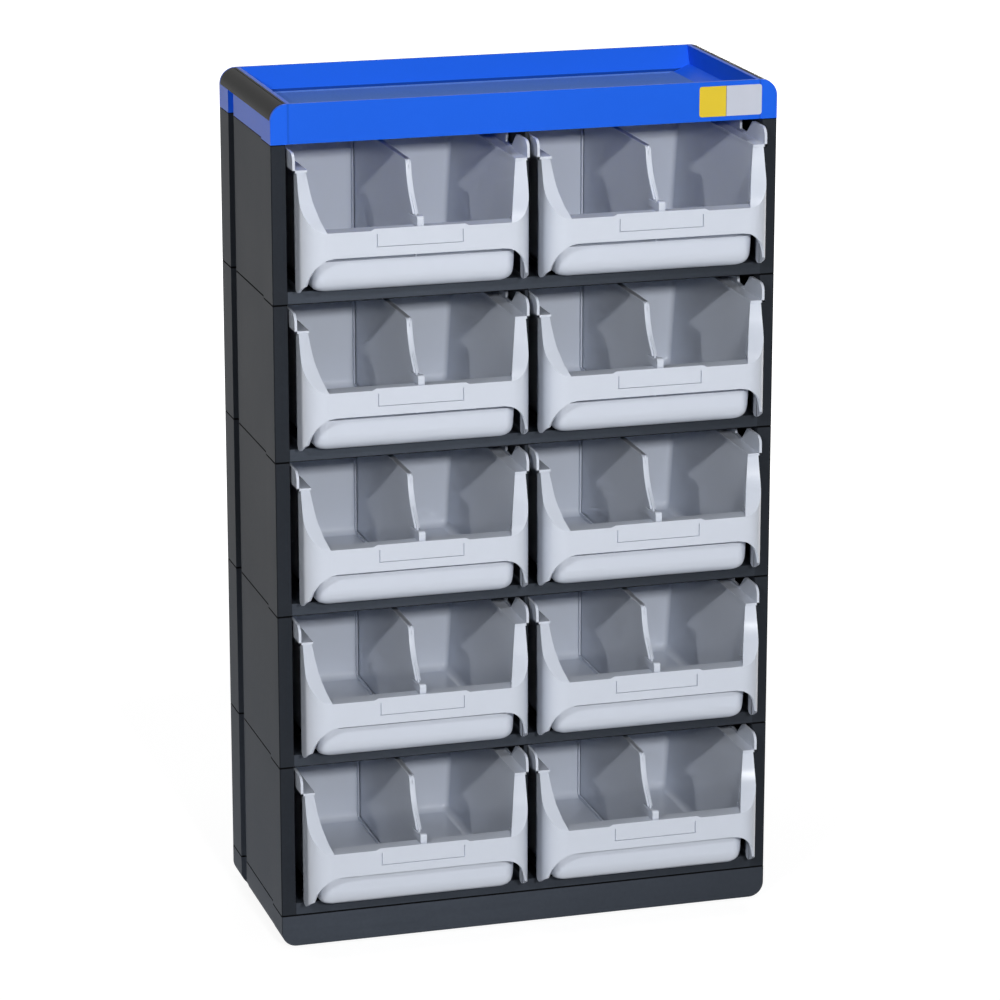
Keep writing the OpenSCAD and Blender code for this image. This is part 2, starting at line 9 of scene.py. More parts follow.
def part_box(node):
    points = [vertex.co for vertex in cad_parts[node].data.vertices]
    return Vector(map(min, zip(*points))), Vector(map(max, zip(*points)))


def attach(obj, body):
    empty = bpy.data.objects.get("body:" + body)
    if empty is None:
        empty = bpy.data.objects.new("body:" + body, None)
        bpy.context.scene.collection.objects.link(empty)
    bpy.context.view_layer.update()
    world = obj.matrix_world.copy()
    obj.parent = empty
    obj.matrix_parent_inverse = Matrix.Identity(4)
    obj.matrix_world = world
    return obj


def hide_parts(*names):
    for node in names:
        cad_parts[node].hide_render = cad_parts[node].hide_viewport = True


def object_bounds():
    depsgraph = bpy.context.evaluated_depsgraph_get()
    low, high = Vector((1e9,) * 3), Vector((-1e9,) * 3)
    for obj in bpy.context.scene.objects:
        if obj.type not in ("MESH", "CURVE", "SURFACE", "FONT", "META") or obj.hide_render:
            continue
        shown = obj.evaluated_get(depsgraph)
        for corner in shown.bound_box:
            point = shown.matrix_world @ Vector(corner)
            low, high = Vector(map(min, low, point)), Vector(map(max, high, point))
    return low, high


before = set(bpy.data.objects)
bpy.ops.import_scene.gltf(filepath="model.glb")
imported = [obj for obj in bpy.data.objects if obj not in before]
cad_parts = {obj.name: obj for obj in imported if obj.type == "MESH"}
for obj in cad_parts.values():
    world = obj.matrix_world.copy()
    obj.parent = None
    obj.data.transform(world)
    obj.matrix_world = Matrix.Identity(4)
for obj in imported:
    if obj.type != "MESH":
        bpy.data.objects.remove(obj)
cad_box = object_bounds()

bl_info = {
    "name": "Parts Bin Cabinet",
    "version": (1, 0, 0),
    "blender": (4, 5, 0),
    "location": "View3D > Sidebar > Bin Cabinet",
    "description": "Dresses a cabinet of stacked tiers with pull-out parts bins and a top tray",
    "category": "Object",
}

TIERS = 5
SIDES = ("left", "right")
BIN_NAMES = [f"bin_{tier}_{side}" for side in SIDES for tier in range(1, TIERS + 1)]
UP = Vector((0.0, 0.0, 1.0))
WHITE = (1.0, 1.0, 1.0)


# ------------------------------------------------------------------ settings


def length(name, description, default, low=0.0, high=1.0):
    """A size in metres."""
    return FloatProperty(name=name, description=description, default=default,
                         min=low, max=high, unit="LENGTH", precision=4)


def colour(name, description, default):
    """A colour in linear light."""
    return FloatVectorProperty(name=name, description=description, default=default,
                               subtype="COLOR", size=3, min=0.0, max=1.0)


def power(name, description, default):
    """A lamp's power in watts."""
    return FloatProperty(name=name, description=description, default=default, min=0.0, unit="POWER")


class CabinetBinSizes(bpy.types.PropertyGroup):
    """Sizes of a bin, from its centre, the cabinet's front plane and its underside."""
    wall: length("Wall", "Thickness of the bin's walls", 0.002, 0.001, 0.004)
    head_half: length("Head half width", "From the centre to a side wall's inner face at the top", 0.0815)
    foot_half: length("Foot half width", "From the centre to a side wall's inner face at the floor", 0.0765)
    inner_front: length("Front lead", "How far the inside reaches ahead of the cabinet", 0.022)
    inner_back: length("Inner depth", "Where the back wall's inner face lies", 0.1645)
    mouth_taper: FloatProperty(name="Mouth taper", description="How much narrower the mouth gets, per length",
                               default=0.31, min=0.0, max=1.0, subtype="FACTOR")
    belly_corner: length("Belly corner", "Plan radius of the inside's front corners below the ledge", 0.007)
    back_corner: length("Back corner", "Plan radius of the inside's back corners", 0.004)
    belly: length("Belly", "Radius of the roll under the front", 0.012)
    belly_top: length("Belly top", "Height of the belly's upper edge", 0.0252)
    belly_step: length("Belly step", "How far the wall above that edge stands back", 0.005)
    foot_round: length("Bottom edge", "Radius of the long bottom edges", 0.006)
    tub_top: length("Tub height", "Height of the tub's upper edge", 0.0938)
    ledge_height: length("Ledge height", "Height of the ledge in the front opening", 0.0495)
    skin_half: length("Skin half width", "From the bin's centre to the front skin's side", 0.089)
    skin_front: length("Skin lead", "How far the front skin stands ahead of the cabinet", 0.037)
    skin_corner: length("Skin corner", "Plan radius of the front skin's corners", 0.017)
    skin_low: length("Skin edge", "Height of the front skin's lower edge", 0.03)
    arch_corner: length("Arch corner", "Width of the arch's curve under the skin", 0.021)
    arch_drop: length("Arch drop", "Height of that curve", 0.028)
    flange_back: length("Flange gap", "Where the side flanges end ahead of the cabinet", 0.007)
    flange_height: length("Flange height", "Height of the flanges' lower edge at the front", 0.009)
    tip_rise: length("Tip round", "Radius of the flanges' lower tips", 0.0035)
    column_lead: length("Column lead", "Where the column tops stand ahead of the cabinet", 0.015)
    bend_lead: length("Bend lead", "Where the columns' front edges bend, ahead of the cabinet", 0.0215)
    bend_height: length("Bend height", "Height of that bend", 0.071)
    mouth_lead: length("Mouth lead", "Where the mouth's upper ends stand ahead of the cabinet", 0.012)
    rim_half: length("Rim half width", "From the bin's centre to the rim plate's outer face", 0.092)
    rim_top: length("Rim height", "Height of the rim plates", 0.1068)
    rim_back: length("Rim end", "Where the rim ends at the back", 0.1665)
    notch_start: length("Notch start", "Where the rim's notch begins", 0.0135)
    notch_end: length("Notch end", "Where the rim's notch ends", 0.042)
    lip_half: length("Lip half width", "Half width of the lip above the label field", 0.038)
    lip_rise: length("Lip height", "Height of that lip", 0.0015)
    field_half: length("Field half width", "Half width of the label field", 0.03325)
    field_height: length("Field height", "Height of the label field", 0.012)
    edge_round: length("Edge rounding", "Radius of the moulded edges", 0.0005, 0.0, 0.002)


class CabinetFinishes(bpy.types.PropertyGroup):
    """Colours of the plastics, and how much the frame's edges are rounded."""
    frame_colour: colour("Frame", "Dark plastic of the tiers and the plinth", (0.0285, 0.0335, 0.0425))
    tray_colour: colour("Tray", "Blue plastic of the top tray", (0.014, 0.124, 0.780))
    # The tray floor's two colours: its grained mottles, painted lighter and greyer than the tray for a sheen
    tray_floor_sheen_dark: colour("Tray floor, dark", "Darker mottles of the tray's floor", (0.060, 0.16, 0.52))
    tray_floor_sheen_light: colour("Tray floor, light", "Lighter mottles of the tray's floor", (0.13, 0.25, 0.66))
    bin_colour: colour("Bins", "Light grey plastic of the bins and dividers", (0.63, 0.675, 0.765))
    grip_colour: colour("Grips", "Black plastic of the tray's edge grips", (0.014, 0.014, 0.0135))
    label_mark: colour("Label, left", "Left field of the plain label", (0.74, 0.54, 0.01))
    label_field: colour("Label, right", "Right field of the plain label", (0.55, 0.58, 0.67))
    label_line: colour("Label, line", "Line between the label's fields", (0.25, 0.23, 0.18))
    foot_colour: colour("Feet", "Rubber of the foot pads", (0.015, 0.015, 0.015))
    edge_round: length("Edge rounding", "Radius of the frame's moulded edges", 0.0006, 0.0, 0.002)


class CabinetStage(bpy.types.PropertyGroup):
    """Camera and studio."""
    camera_place: FloatVectorProperty(name="Camera", description="Where the camera stands",
                                      default=(-0.9098, -3.0741, 1.2332), subtype="TRANSLATION", size=3)
    camera_yaw: FloatProperty(name="Yaw", description="Turn of the view to the right",
                              default=math.radians(16.446), subtype="ANGLE")
    camera_pitch: FloatProperty(name="Pitch", description="Tilt of the view above the horizon",
                                default=math.radians(-15.691), subtype="ANGLE")
    lens: FloatProperty(name="Lens", description="Focal length in millimetres", default=151.63, min=20.0,
                        unit="CAMERA")
    key_power: power("Key light", "Power of the main lamp", 56.0)
    side_power: power("Side light", "Power of the small left lamp", 38.0)
    back_power: power("Back light", "Power of the wide lamp behind", 30.0)
    top_power: power("Top light", "Power of the wide lamp overhead", 14.0)
    world_light: FloatProperty(name="Room light", description="Strength of the even room light", default=0.04)
    floor_white: FloatProperty(name="Floor white", description="Share of plain white on the seen floor",
                               default=0.65, min=0.0, max=1.0, subtype="FACTOR")
    floor_glow: FloatProperty(name="Floor glow", description="Strength of that white, against the dim light",
                              default=1.38, min=1.0, max=2.0)


# ------------------------------------------------------------------- shading


class Signal:
    """A shader socket that can be written in sums like a number."""

    def __init__(self, tree, socket):
        self.tree = tree
        self.socket = socket

    def _maths(self, operation, *values):
        node = self.tree.nodes.new("ShaderNodeMath")
        node.operation = operation
        for slot, value in zip(node.inputs, values):
            if isinstance(value, Signal):
                self.tree.links.new(value.socket, slot)
            else:
                slot.default_value = value
        return Signal(self.tree, node.outputs[0])

    def __add__(self, other):
        return self._maths("ADD", self, other)

    def __radd__(self, other):
        return self._maths("ADD", other, self)

    def __sub__(self, other):
        return self._maths("SUBTRACT", self, other)

    def __rsub__(self, other):
        return self._maths("SUBTRACT", other, self)

    def __mul__(self, other):
        return self._maths("MULTIPLY", self, other)

    def __rmul__(self, other):
        return self._maths("MULTIPLY", other, self)

    def __gt__(self, other):
        return self._maths("GREATER_THAN", self, other)

    def __lt__(self, other):
        return self._maths("LESS_THAN", self, other)


# Places of the Mix node's colour sockets, whose names its other sockets share
MIX_FACTOR, MIX_FIRST, MIX_SECOND, MIX_RESULT = 0, 6, 7, 2


class Nodes:
    """A node tree under construction."""

    def __init__(self, tree):
        self.tree = tree

    def feed(self, socket, value):
        """Link a signal to a socket, or set the socket to a value."""
        if isinstance(value, Signal):
            self.tree.links.new(value.socket, socket)
        else:
            socket.default_value = value

    def node(self, kind, output=0, settings=None, inputs=None):
        """Add a node, set it up, feed its sockets and return one of its outputs."""
        made = self.tree.nodes.new(kind)
        for key, value in (settings or {}).items():
            setattr(made, key, value)
        for key, value in (inputs or {}).items():
            self.feed(made.inputs[key], value)
        return Signal(self.tree, made.outputs[output])

    def maths(self, operation, *values):
        """A Math node for what has no operator."""
        return self.node("ShaderNodeMath", settings={"operation": operation}, inputs=dict(enumerate(values)))

    def seen(self):
        """1 where a ray comes from the camera, off a gloss or through glass, else 0."""
        camera, glossy, through = [self.node("ShaderNodeLightPath", f"Is {kind} Ray")
                                   for kind in ("Camera", "Glossy", "Transmission")]
        return self.maths("MAXIMUM", camera, self.maths("MAXIMUM", glossy, through))


class Finish(Nodes):
    """A material under construction, with its shader and its Object coordinates."""

    def __init__(self, name):
        self.material = bpy.data.materials.new(name)
        self.material.use_nodes = True
        super().__init__(self.material.node_tree)
        self.shader = self.tree.nodes["Principled BSDF"]
        self.place = self.node("ShaderNodeTexCoord", "Object")

    def set(self, **values):
        """Set or link the shader's sockets, named with underscores for spaces."""
        for key, value in values.items():
            self.feed(self.shader.inputs[key.replace("_", " ")], value)

    def axis(self, letter):
        """One coordinate of the place."""
        return self.node("ShaderNodeSeparateXYZ", letter, inputs={0: self.place})

    def noise(self, scale, detail=2.0, roughness=0.5, place=None):
        """Soft random patches, from 0 to 1."""
        return self.node("ShaderNodeTexNoise", "Fac",
                         inputs={"Vector": place or self.place, "Scale": scale, "Detail": detail,
                                 "Roughness": roughness})

    def blend(self, factor, first, second):
        """Mix two colours."""
        return self.node("ShaderNodeMix", MIX_RESULT, settings={"data_type": "RGBA"},
                         inputs={MIX_FACTOR: factor, MIX_FIRST: first, MIX_SECOND: second})

    def scaled(self, tone, factor):
        """A colour times a number."""
        return self.node("ShaderNodeVectorMath", settings={"operation": "SCALE"},
                         inputs={"Vector": tone, "Scale": factor})

    def bump(self, height, distance):
        """A normal from a height and the depth of its relief."""
        return self.node("ShaderNodeBump", inputs={"Height": height, "Distance": distance})


def shade(tone, factor=1.0):
    """A colour made lighter or darker, with its alpha."""
    return (tone[0] * factor, tone[1] * factor, tone[2] * factor, 1.0)


def moulded_plastic(name, tone, roughness, grain, depth, patch, specular=0.5):
    """Spark-eroded moulded plastic: fine grain, faint flow patches, uneven gloss."""
    finish = Finish(name)
    patches = finish.noise(scale=9.0, detail=3.0)
    specks = finish.noise(scale=260.0, roughness=0.6)
    fine = finish.noise(grain, detail=1.5, roughness=0.55)
    uneven = 0.01
    finish.set(Base_Color=finish.blend(patches * 0.7 + specks * 0.3, shade(tone, 1.0 - patch),
                                       shade(tone, 1.0 + patch)),
               Roughness=roughness - uneven + patches * (2 * uneven),
               Specular_IOR_Level=specular,
               Normal=finish.bump(fine, depth))
    return finish.material


def frame_plastic(finishes):
    """Dark grained plastic: dusty lips painted lighter to the left and up high, a dusty plinth, painted shade
    on the jambs, front corners and upper sides, painted light low on the sides, dirt in the seams.
    """
    front_reach, jamb_width, side_reach = 0.0004, 0.0118, 0.005
    seam_half, corner_reach = 0.0007, 0.0008
    plinth_dust, jamb_shade, side_shade, seam_dirt, corner_shade = 0.35, 0.24, 0.25, 0.93, 0.4
    low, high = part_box("tier_frame_1")
    lowest_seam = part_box(f"tier_frame_{TIERS}")[0].z
    pitch = (low.z - lowest_seam) / (TIERS - 1)

    finish = Finish("frame_plastic")
    dust = finish.noise(scale=14.0, detail=4.0, roughness=0.6)
    grain = finish.noise(scale=1100.0, detail=1.0)
    coarse = finish.noise(scale=320.0, roughness=0.6)
    drawn_out = finish.node("ShaderNodeMapping", inputs={"Vector": finish.place, "Scale": (0.12, 1.0, 1.0)})
    scuffs = finish.noise(scale=150.0, detail=3.0, roughness=0.6, place=drawn_out)
    height = finish.axis("Z")
    depth = finish.axis("Y")
    half = finish.maths("ABSOLUTE", finish.axis("X"))
    front = depth < low.y + front_reach
    jamb = front * (half > high.x - jamb_width) * (height > lowest_seam)
    lip = front * (1.0 - jamb)
    plinth = height < lowest_seam
    side = (1.0 - front) * (half > high.x - side_reach)
    seam = finish.maths("PINGPONG", height - lowest_seam, pitch / 2) < seam_half
    corner = (half > high.x - corner_reach) * (depth < low.y + corner_reach)
    # Dust and painted light on the lips, lighter to the left and higher up; painted light low on the sides
    # and painted shade higher up
    lit_leftwards = finish.maths("MINIMUM", 0.85 - finish.axis("X") * 4.0, 1.2)
    lip_dust_and_light = (0.6 + scuffs * 0.7) * lit_leftwards * (0.45 + height)
    side_painted_light = finish.maths("MAXIMUM", 1.5 - height * 5.0, 0.0)
    level = 1.0 + lip * lip_dust_and_light + plinth * plinth_dust - jamb * jamb_shade
    level = level + side * (side_painted_light - side_shade)
    level = level * (1.0 - seam * seam_dirt) * (1.0 - corner * corner_shade)
    tone = finishes.frame_colour
    plain = finish.blend(dust * 0.55 + coarse * 0.45, shade(tone, 0.86), shade(tone, 1.18))
    finish.set(Base_Color=finish.scaled(plain, level),
               Roughness=0.46 + dust * 0.08 + grain * 0.08 + seam * 0.4,
               Specular_IOR_Level=0.06,
               Normal=finish.bump(grain * 0.6 + coarse * 0.4, 0.00012))
    return finish.material


def tray_plastic(finishes):
    """Blue plastic: satin walls, and a less glossy grained floor with painted sheen in lighter, greyer blues;
    painted shade at the back wall's foot and beside the front's ends.
    """
    floor_depth, under_floor, over_floor = 0.0205, 0.0004, 0.0012
    foot_from, foot_to, foot_shade = 0.0002, 0.0032, 0.6
    # From the sides of the whole box inwards
    floor_from, within_from, back_from, end_band, step_end = 0.041, 0.006, 0.012, 0.0146, 0.0130
    end_glow, step_shade = 0.06, 0.22
    floor_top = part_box("top_tray")[1].z - floor_depth
    low, high = cad_box

    finish = Finish("tray_plastic")
    patches = finish.noise(scale=8.0, detail=3.0)
    grain = finish.noise(scale=900.0, detail=1.0)
    mottles = finish.noise(scale=420.0, roughness=0.6)
    height = finish.axis("Z")
    depth = finish.axis("Y")
    half = finish.maths("ABSOLUTE", finish.axis("X"))
    within = half < high.x - within_from
    floor = (height < floor_top + over_floor) * (height > floor_top - under_floor)
    inside = floor * (depth > low.y + floor_from) * within
    # Painted shade at the foot of the back wall and in the step beside each end of the front, with the end
    # bands lighter
    foot = (height < floor_top + foot_to) * (height > floor_top + foot_from)
    foot = foot * (depth > high.y - back_from) * within
    end = half > high.x - end_band
    step = end * (half < high.x - step_end)
    tone = finishes.tray_colour
    plain = finish.blend(patches, shade(tone, 0.95), shade(tone, 1.06))
    plain = finish.scaled(plain, (1.0 + end * end_glow - step * step_shade) * (1.0 - foot * foot_shade))
    # Painted sheen: the floor's grained mottles in lighter, greyer blues
    floor_mottles_and_sheen = finish.blend(grain * 0.5 + mottles * 0.5, shade(finishes.tray_floor_sheen_dark),
                        shade(finishes.tray_floor_sheen_light))
    finish.set(Base_Color=finish.blend(inside, plain, floor_mottles_and_sheen),
               Roughness=0.34 + inside * 0.22 + patches * 0.05,
               Specular_IOR_Level=0.06,
               Normal=finish.bump(grain * (0.25 + inside * 0.75), 0.00022))
    return finish.material


def label_film(finishes):
    """Printed film with two plain fields and a thin line between them."""
    left_share, line_half = 0.43, 0.0003
    low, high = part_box("tray_label")
    split = low.x + (high.x - low.x) * left_share

    finish = Finish("label_film")
    across = finish.axis("X")
    line = (across > split - line_half) * (across < split + line_half)
    wear = finish.noise(scale=60.0, detail=3.0)
    left = finish.blend(wear, shade(finishes.label_mark, 0.97), shade(finishes.label_mark, 1.03))
    right = finish.blend(wear, shade(finishes.label_field, 0.96), shade(finishes.label_field, 1.04))
    fields = finish.blend(across > split, left, right)
    finish.set(Base_Color=finish.blend(line, fields, shade(finishes.label_line)),
               Roughness=0.3 + wear * 0.08,
               Normal=finish.bump(wear, 0.00005))
    return finish.material


MATERIALS = {}


def finish_for(slot):
    """The material of that slot, made by the operator that mixes the finishes."""
    if slot not in MATERIALS:
        raise RuntimeError(f"the finish {slot!r} isn't mixed yet: run the finishes first")
    return MATERIALS[slot]


# ------------------------------------------------------------- mesh building


# Vertices nearer to each other than this are one
WELD = 1e-6
# A plane's cut uses a vertex that lies nearer to it than this
CUT_REACH = 1e-7
# Small step that keeps two faces out of one plane
PROUD = 0.00003
# How far the mouth's side walls stand outside the tub's, for the same reason
WALL_STEP = 0.0001
# Edges sharper than this are rounded
SOFT_ANGLE = math.radians(32.0)
# Faces of a copied mesh that bend less than this are joined
FLAT_ANGLE = math.radians(0.5)


def finished_mesh(bm, name):
    """A mesh made from a bmesh, which is freed."""
    mesh = bpy.data.meshes.new(name)
    bm.to_mesh(mesh)
    bm.free()
    return mesh


def add_object(name, data):
    """Put a new object in the scene."""
    made = bpy.data.objects.new(name, data)
    bpy.context.scene.collection.objects.link(made)
    return made


def merge_in(bm, piece):
    """Add a bmesh to another one and free it."""
    mesh = finished_mesh(piece, "scratch")
    bm.from_mesh(mesh)
    bpy.data.meshes.remove(mesh)


def extrude(bm, faces, shift, keep=False):
    """Extrude faces along a vector, and keep the first ones as a cap if asked."""
    made = bmesh.ops.extrude_face_region(bm, geom=faces, use_keep_orig=keep)
    moved = [v for v in made["geom"] if isinstance(v, bmesh.types.BMVert)]
    bmesh.ops.translate(bm, verts=moved, vec=shift)


def solid(bm, points, shift, radii=None, segments=6):
    """A closed solid from an outline, with radii for some of its corners, by number, and a shift."""
    piece = bmesh.new()
    corners = [piece.verts.new(p) for p in points]
    piece.faces.new(corners)
    by_radius = {}
    for index, radius in (radii or {}).items():
        by_radius.setdefault(radius, []).append(corners[index])
    for radius, verts in by_radius.items():
        bmesh.ops.bevel(piece, geom=verts, offset=radius, offset_type="OFFSET", segments=segments,
                        profile=0.5, affect="VERTICES", material=-1, clamp_overlap=False)
    piece.faces.ensure_lookup_table()
    extrude(piece, [piece.faces[0]], shift, keep=True)
    bmesh.ops.recalc_face_normals(piece, faces=piece.faces)
    merge_in(bm, piece)


def side_solid(bm, profile, low, high, radii=None, segments=6):
    """A solid from a side view (y, z), extruded along x."""
    solid(bm, [(low, y, z) for y, z in profile], (high - low, 0, 0), radii, segments)


def cut_away(bm, point, normal):
    """Remove what lies on the side of a plane that its normal points to."""
    bmesh.ops.bisect_plane(bm, geom=list(bm.verts) + list(bm.edges) + list(bm.faces), dist=CUT_REACH,
                           plane_co=point, plane_no=normal, clear_outer=True)


def slant(low, high):
    """Slope and offset of the line z(y) through two points (y, z)."""
    slope = (high[1] - low[1]) / (high[0] - low[0])
    return slope, low[1] - slope * low[0]


def face_towards(bm, direction):
    """Make an open sheet's normals consistent, its largest face along a direction."""
    bmesh.ops.recalc_face_normals(bm, faces=bm.faces)
    largest = max(bm.faces, key=lambda f: abs(f.normal.dot(direction)) * f.calc_area())
    if largest.normal.dot(direction) < 0:
        bmesh.ops.reverse_faces(bm, faces=bm.faces)


def walled(bm, thickness):
    """Give an open sheet its thickness, away from its normals."""
    mesh = finished_mesh(bm, "scratch")
    holder = add_object("scratch", mesh)
    shell = holder.modifiers.new("Wall", "SOLIDIFY")
    shell.thickness = thickness
    shell.offset = -1.0
    shell.use_even_offset = True
    shell.use_quality_normals = True
    graph = bpy.context.evaluated_depsgraph_get()
    made = bpy.data.meshes.new_from_object(holder.evaluated_get(graph))
    result = bmesh.new()
    result.from_mesh(made)
    bpy.data.objects.remove(holder)
    bpy.data.meshes.remove(mesh)
    bpy.data.meshes.remove(made)
    return result


def soften(piece, width, segments=2):
    """Rounded moulded edges and even shading."""
    for face in piece.data.polygons:
        face.use_smooth = True
    if width > 0:
        bevel = piece.modifiers.new("Moulded edges", "BEVEL")
        bevel.width = width
        bevel.segments = segments
        bevel.limit_method = "ANGLE"
        bevel.angle_limit = SOFT_ANGLE
        bevel.use_clamp_overlap = True
        bevel.miter_outer = "MITER_ARC"
    weighted = piece.modifiers.new("Even shading", "WEIGHTED_NORMAL")
    weighted.weight = 60
    weighted.keep_sharp = True


def place_piece(name, mesh, body, slot, node):
    """Add a finished piece to the scene, riding on its body and standing for its node."""
    piece = add_object(name, mesh)
    mesh.materials.clear()
    mesh.materials.append(finish_for(slot))
    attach(piece, body)
    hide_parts(node)
    return piece


# ------------------------------------------------------------------ the bins


def right_corner(half, front, size, steps=8):
    """Plan points of a rounded right front corner."""
    turns = [math.pi / 2 * k / steps for k in range(steps + 1)]
    return [(half - size + size * math.sin(t), front + size * (1 - math.cos(t))) for t in turns]


def mirrored(points):
    """Points in the order left end to right end, from those of the right side."""
    return [(-x, *rest) for x, *rest in reversed(points)] + list(points)


def loft(bm, rings, closed=True):
    """Quads between rings of the same number of points, and the rings' vertices."""
    rows = [[bm.verts.new(p) for p in ring] for ring in rings]
    for first, second in zip(rows, rows[1:]):
        count = len(first)
        for k in range(count if closed else count - 1):
            n = (k + 1) % count
            bm.faces.new((first[k], first[n], second[n], second[k]))
    return rows


def tub_half_at(s, z):
    """Inner half width at a height: upright at the foot, wider towards the top."""
    share = max(0.0, (z - s.wall - s.foot_round) / (s.tub_top - s.wall - s.foot_round))
    return s.foot_half + (s.head_half - s.foot_half) * share


def tub_ring(s, z, corner, inset=0.0):
    """Plan of the tub's inside at one height, from its right front corner."""
    back = s.inner_back - inset
    turned = right_corner(tub_half_at(s, z) - inset, back, s.back_corner, steps=5)
    right = corner + [(x, 2 * back - y) for x, y in reversed(turned)]
    left = [(-x, y) for x, y in reversed(right)]
    return [(x, y, z) for x, y in right + left]


def tub_sheet(s):
    """Inner surface of the tub, open in front above the ledge, down the belly to the floor."""
    roll_steps, least_step, edge_slope, sharp_share = 9, 0.001, 0.0003, 0.4
    floor = s.wall
    below_ledge = s.ledge_height - s.wall
    belly_edge = s.belly_top - s.wall
    sharp = s.belly_corner * sharp_share
    side_start = least_step - s.mouth_lead
    bm = bmesh.new()
    loft(bm, [tub_ring(s, z, [(tub_half_at(s, z), side_start)]) for z in (s.tub_top, below_ledge)],
         closed=False)
    levels = [(below_ledge, s.belly_step, sharp), (belly_edge + edge_slope, s.belly_step, sharp),
              (belly_edge, 0.0, s.belly_corner)]
    for k in range(roll_steps + 1):
        turn = math.radians(90.0 * k / roll_steps)
        levels.append((floor + s.belly * (1 - math.sin(turn)), s.belly * (1 - math.cos(turn)),
                       s.belly_corner))
    rings = []
    for z, belly_in, plan_corner in levels:
        rise = z - floor
        r = s.foot_round
        inset = r - math.sqrt(r * r - (r - rise) ** 2) if rise < r else 0.0
        half = tub_half_at(s, z) - inset
        corner = right_corner(half, belly_in - s.inner_front, plan_corner)
        corner.append((half, max(side_start, corner[-1][1] + least_step)))
        rings.append(tub_ring(s, z, corner, inset))
    rows = loft(bm, rings)
    bm.faces.new(rows[-1])
    bmesh.ops.remove_doubles(bm, verts=bm.verts, dist=WELD)
    face_towards(bm, UP)
    return bm


def brow_height(s, y):
    """Height of the columns' front edges: a slant from the ledge, a round bend and a steeper slant."""
    low = slant((-s.skin_front, s.ledge_height), (-s.bend_lead, s.bend_height))
    high = slant((-s.bend_lead, s.bend_height), (-s.column_lead, s.tub_top))
    reach = 0.003
    past = y + s.bend_lead
    bent = max(0.0, past) if abs(past) > reach else (past + reach) ** 2 / (4 * reach)
    return low[0] * y + low[1] + (high[0] - low[0]) * bent


def mouth_half_at(s, y, z):
    """Inner half width in the mouth, where the side walls draw in towards the front."""
    return tub_half_at(s, z) + WALL_STEP - s.mouth_taper * max(0.0, -s.mouth_lead - y)


def skin_plan(s):
    """Plan points of the skin's right half, from its flat front to the flange's end."""
    side_steps, past_column = 5, 0.0006
    front = -s.skin_front
    arch_start = s.skin_half - s.wall - s.arch_corner
    flat = [(arch_start, front), (mouth_half_at(s, front, s.ledge_height), front)]
    corner = right_corner(s.skin_half, front, s.skin_corner, steps=12)
    first, last = s.skin_corner - s.skin_front, past_column - s.column_lead
    side = [(s.skin_half, first + (last - first) * k / side_steps) for k in range(1, side_steps + 1)]
    tip = [(s.skin_half, -s.flange_back - s.tip_rise * lead) for lead in (2.0, 1.0, 0.5, 0.2, 0.0)]
    return flat + corner + side + tip


def skin_foot(s, x, y):
    """Height of the skin's lower edge: an arch in the front view, slanted flanges at the sides."""
    tip_low, slant_start = 0.0006, 0.007
    r = s.arch_corner
    past = abs(x) - (s.skin_half - s.wall - r)
    arch = s.skin_low
    if past > 0:
        arch = s.skin_low - s.arch_drop * (1 - math.sqrt(1 - (past / r) ** 2)) if past < r else 0.0
    tip_y = -s.flange_back - s.tip_rise
    slope, offset = slant((slant_start - s.skin_front, s.flange_height), (tip_y - s.tip_rise, tip_low))
    past_tip = max(0.0, y - tip_y)
    tip = tip_low + s.tip_rise - math.sqrt(max(0.0, s.tip_rise ** 2 - past_tip ** 2))
    return max(arch, min(s.flange_height, slope * y + offset), tip)


def skin_sheet(s):
    """Outer surface of the front skin and its flanges, with the arch below."""
    bm = bmesh.new()
    plan = mirrored(skin_plan(s))
    loft(bm, [[(x, y, skin_foot(s, x, y)) for x, y in plan],
              [(x, y, brow_height(s, y)) for x, y in plan]], closed=False)
    cut_away(bm, Vector((0, 0, s.tub_top)), UP)
    return bm


def band_points(s, x, y):
    """Four points of the band at one point of the skin's plan, from the skin inwards."""
    brow_slope, overlap, near, same = 0.4, 0.002, 1e-6, 1e-9
    ledge, front, inside = s.ledge_height, -s.skin_front, -s.inner_front
    z = brow_height(s, y)
    corner = mouth_half_at(s, front, ledge)
    if y == front and x < corner + same:
        half = min(x, s.foot_half) if x < corner - near else mouth_half_at(s, inside, ledge)
        return (x, y, z), (x, y, z), (half, inside, ledge), (half, inside, ledge)
    edge = y + min(s.column_lead - s.mouth_lead, (z - ledge) * brow_slope)
    middle = max(edge, inside)
    end = overlap - s.mouth_lead
    return ((x, y, z), (mouth_half_at(s, edge, z), edge, z), (mouth_half_at(s, middle, z), middle, z),
            (mouth_half_at(s, end, z), max(end, edge), z))


def band_sheet(s):
    """The columns' front faces, the ledge, and the mouth's side walls behind them."""
    bm = bmesh.new()
    rows = zip(*[band_points(s, x, y) for x, y in skin_plan(s)])
    loft(bm, [mirrored(row) for row in rows], closed=False)
    cut_away(bm, Vector((0, 0, s.tub_top)), UP)
    return bm


def front_sheet(s):
    """Outer surface of the front skin and the band that joins it to the mouth."""
    bm = skin_sheet(s)
    merge_in(bm, band_sheet(s))
    bmesh.ops.remove_doubles(bm, verts=bm.verts, dist=WELD)
    face_towards(bm, Vector((0, -1, 0)))
    return bm


